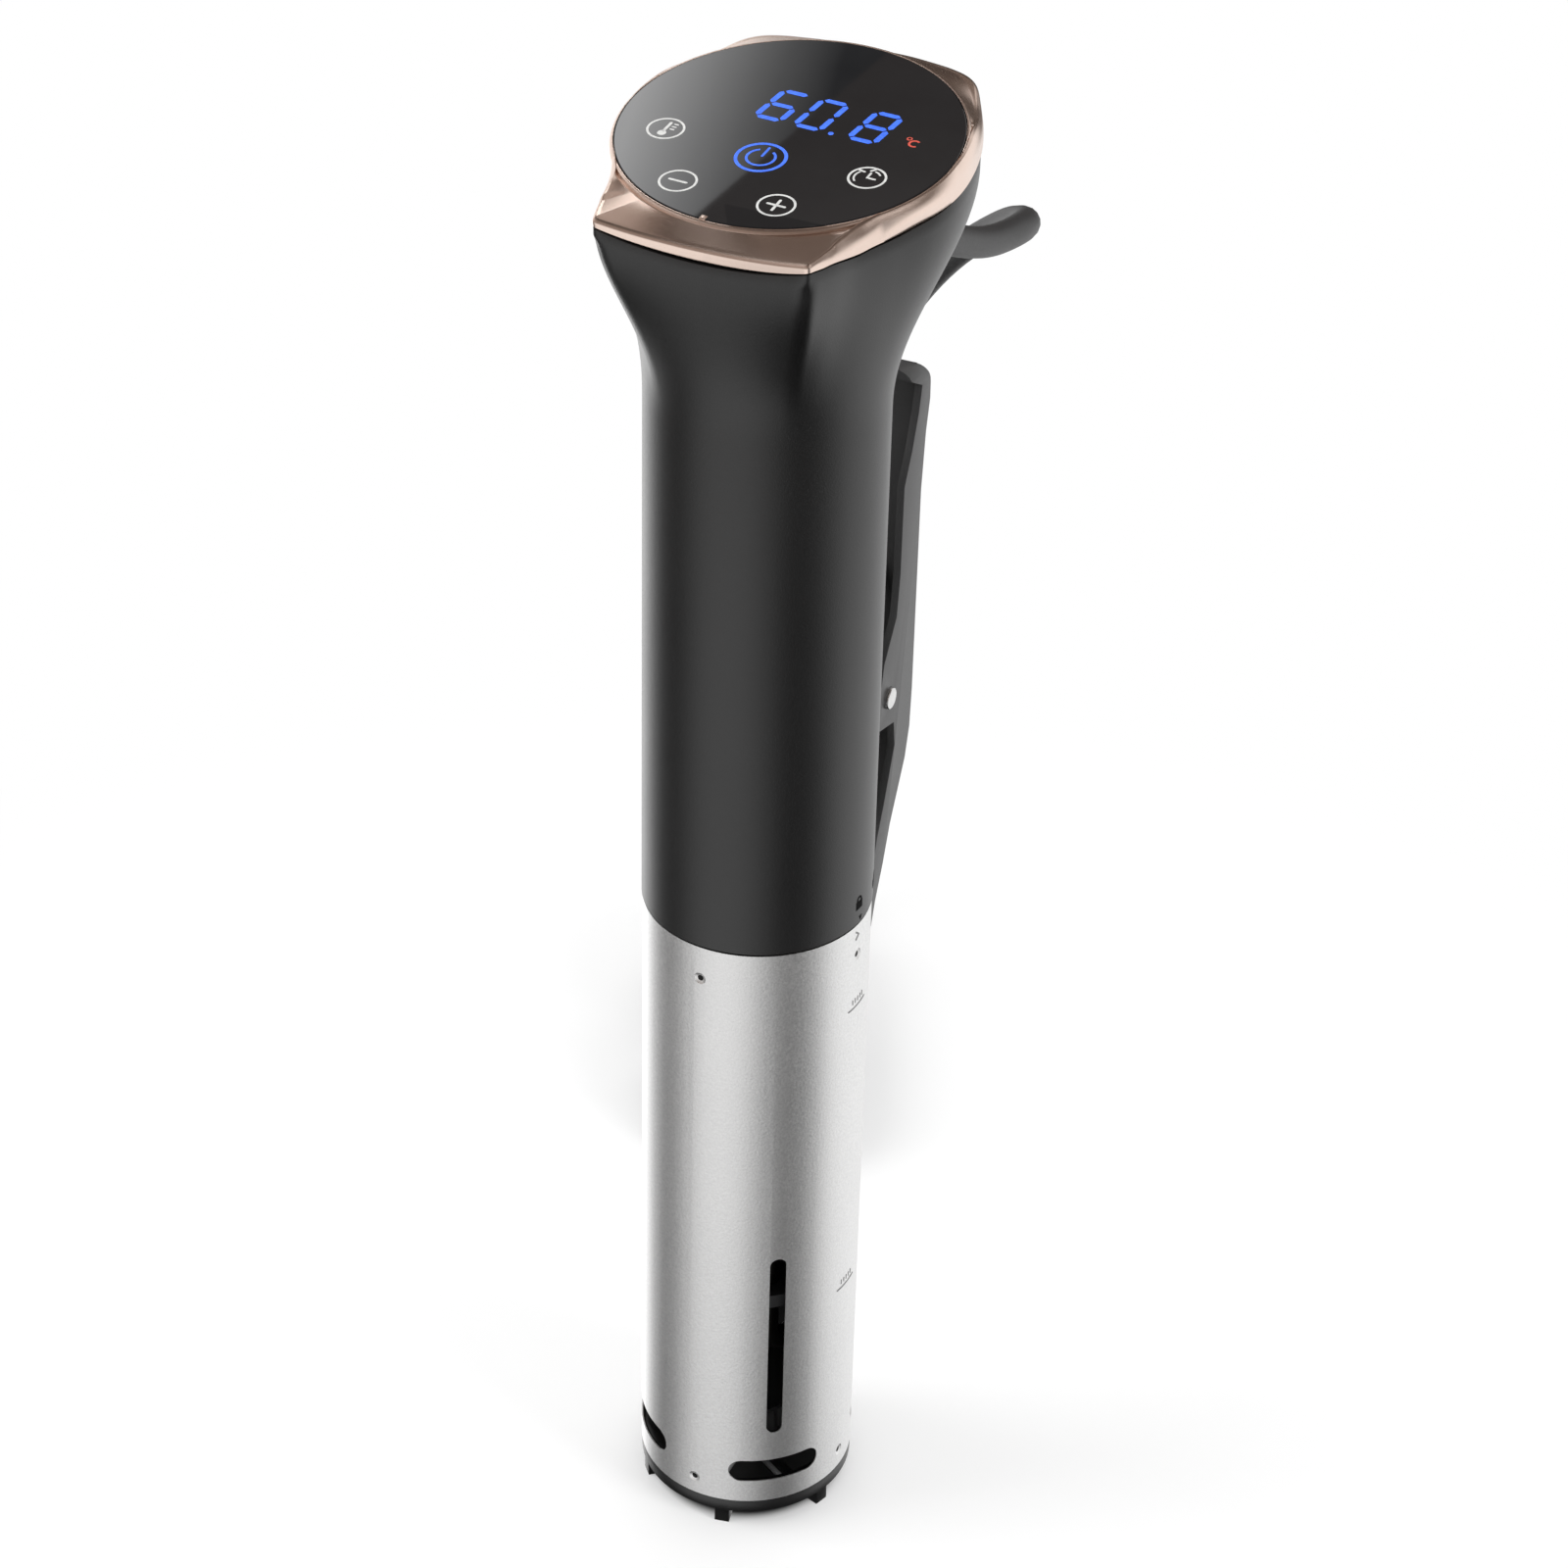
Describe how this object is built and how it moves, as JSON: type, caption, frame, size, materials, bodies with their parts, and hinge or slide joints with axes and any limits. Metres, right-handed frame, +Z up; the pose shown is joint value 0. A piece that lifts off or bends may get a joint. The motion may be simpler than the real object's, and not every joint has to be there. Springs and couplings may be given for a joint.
{
  "type": "sous vide circulator",
  "caption": "Stick-shaped immersion circulator: charcoal handle flaring to a round touch display in a rose-gold collar, twist-off slotted steel sleeve, sprung pot clip and a long lead.",
  "frame": {"origin": "on the steel tube's axis, in the plane of the foot pegs' tips", "axes": "+Z up along the tube, -Y towards the user in front of the display, +X to the user's right"},
  "size_m": [0.1638, 0.3019, 0.3994],
  "materials": {
    "black_plastic": "fine satin grain",
    "rose_gold": "glossy metallic rose gold",
    "dark_glass": "glossy dark panel",
    "blasted_steel": "bead-blasted",
    "steel": "bright machined",
    "soft_rubber": "matte",
    "cord_rubber": "satin",
    "inner_plastic": "plain moulded",
    "circuit_board": "solder-masked board",
    "aluminium": "plain",
    "magnet": "plain",
    "brass_pins": "polished"
  },
  "bodies": {
    "handle": {"handle_housing": "black_plastic", "bezel": "rose_gold", "display_glass": "dark_glass", "display_board": "circuit_board", "digit_module": "inner_plastic", "touch_springs": "steel", "board_frame": "inner_plastic", "frame_posts": "steel", "main_board": "circuit_board", "transformer": "inner_plastic", "relay": "inner_plastic", "capacitors": "aluminium", "heat_sink": "aluminium", "terminal_block": "inner_plastic", "motor_can": "steel", "motor_magnet": "magnet", "motor_bearings": "steel", "motor_plate": "inner_plastic", "motor_screws": "steel", "plate_posts": "steel", "bulkhead": "black_plastic", "sleeve_seal": "soft_rubber", "housing_seal": "soft_rubber", "shaft_seal": "soft_rubber", "shaft_bush": "inner_plastic", "heating_element": "steel", "heater_nuts": "steel", "temperature_probe": "steel", "level_probes": "steel", "lower_guide": "inner_plastic", "guide_bush": "inner_plastic", "thermal_cutout": "steel", "clip_bracket": "black_plastic", "bracket_screws": "steel", "clip_pin": "steel", "cord_gland": "cord_rubber", "power_cord": "cord_rubber", "cord_coil": "cord_rubber", "cord_tie": "cord_rubber", "plug_body": "cord_rubber", "plug_pins": "brass_pins"},
    "clip": {"clip_lever": "black_plastic", "clip_pad": "soft_rubber", "clip_spring": "steel"},
    "sleeve": {"steel_sleeve": "blasted_steel", "bayonet_ring": "black_plastic", "foot_cap": "black_plastic"},
    "rotor": {"motor_rotor": "magnet", "shaft_coupling": "steel", "drive_shaft": "steel", "impeller": "inner_plastic"}
  },
  "joints": [
    {"name": "clip_hinge", "type": "hinge", "parent": "handle", "child": "clip", "pos_m": [0, 0.0433, 0.2281], "axis": [1, 0, 0], "range_deg": [0, 12], "stiffness_Nm_per_rad": 0.5, "springref_deg": -20.05},
    {"name": "sleeve_twist", "type": "hinge", "parent": "handle", "child": "sleeve", "pos_m": [0, 0, 0.18], "axis": [0, 0, 1], "range_deg": [0, 24]},
    {"name": "rotor_spin", "type": "hinge", "parent": "handle", "child": "rotor", "pos_m": [0, 0, 0.1], "axis": [0, 0, 1], "continuous": true}
  ]
}
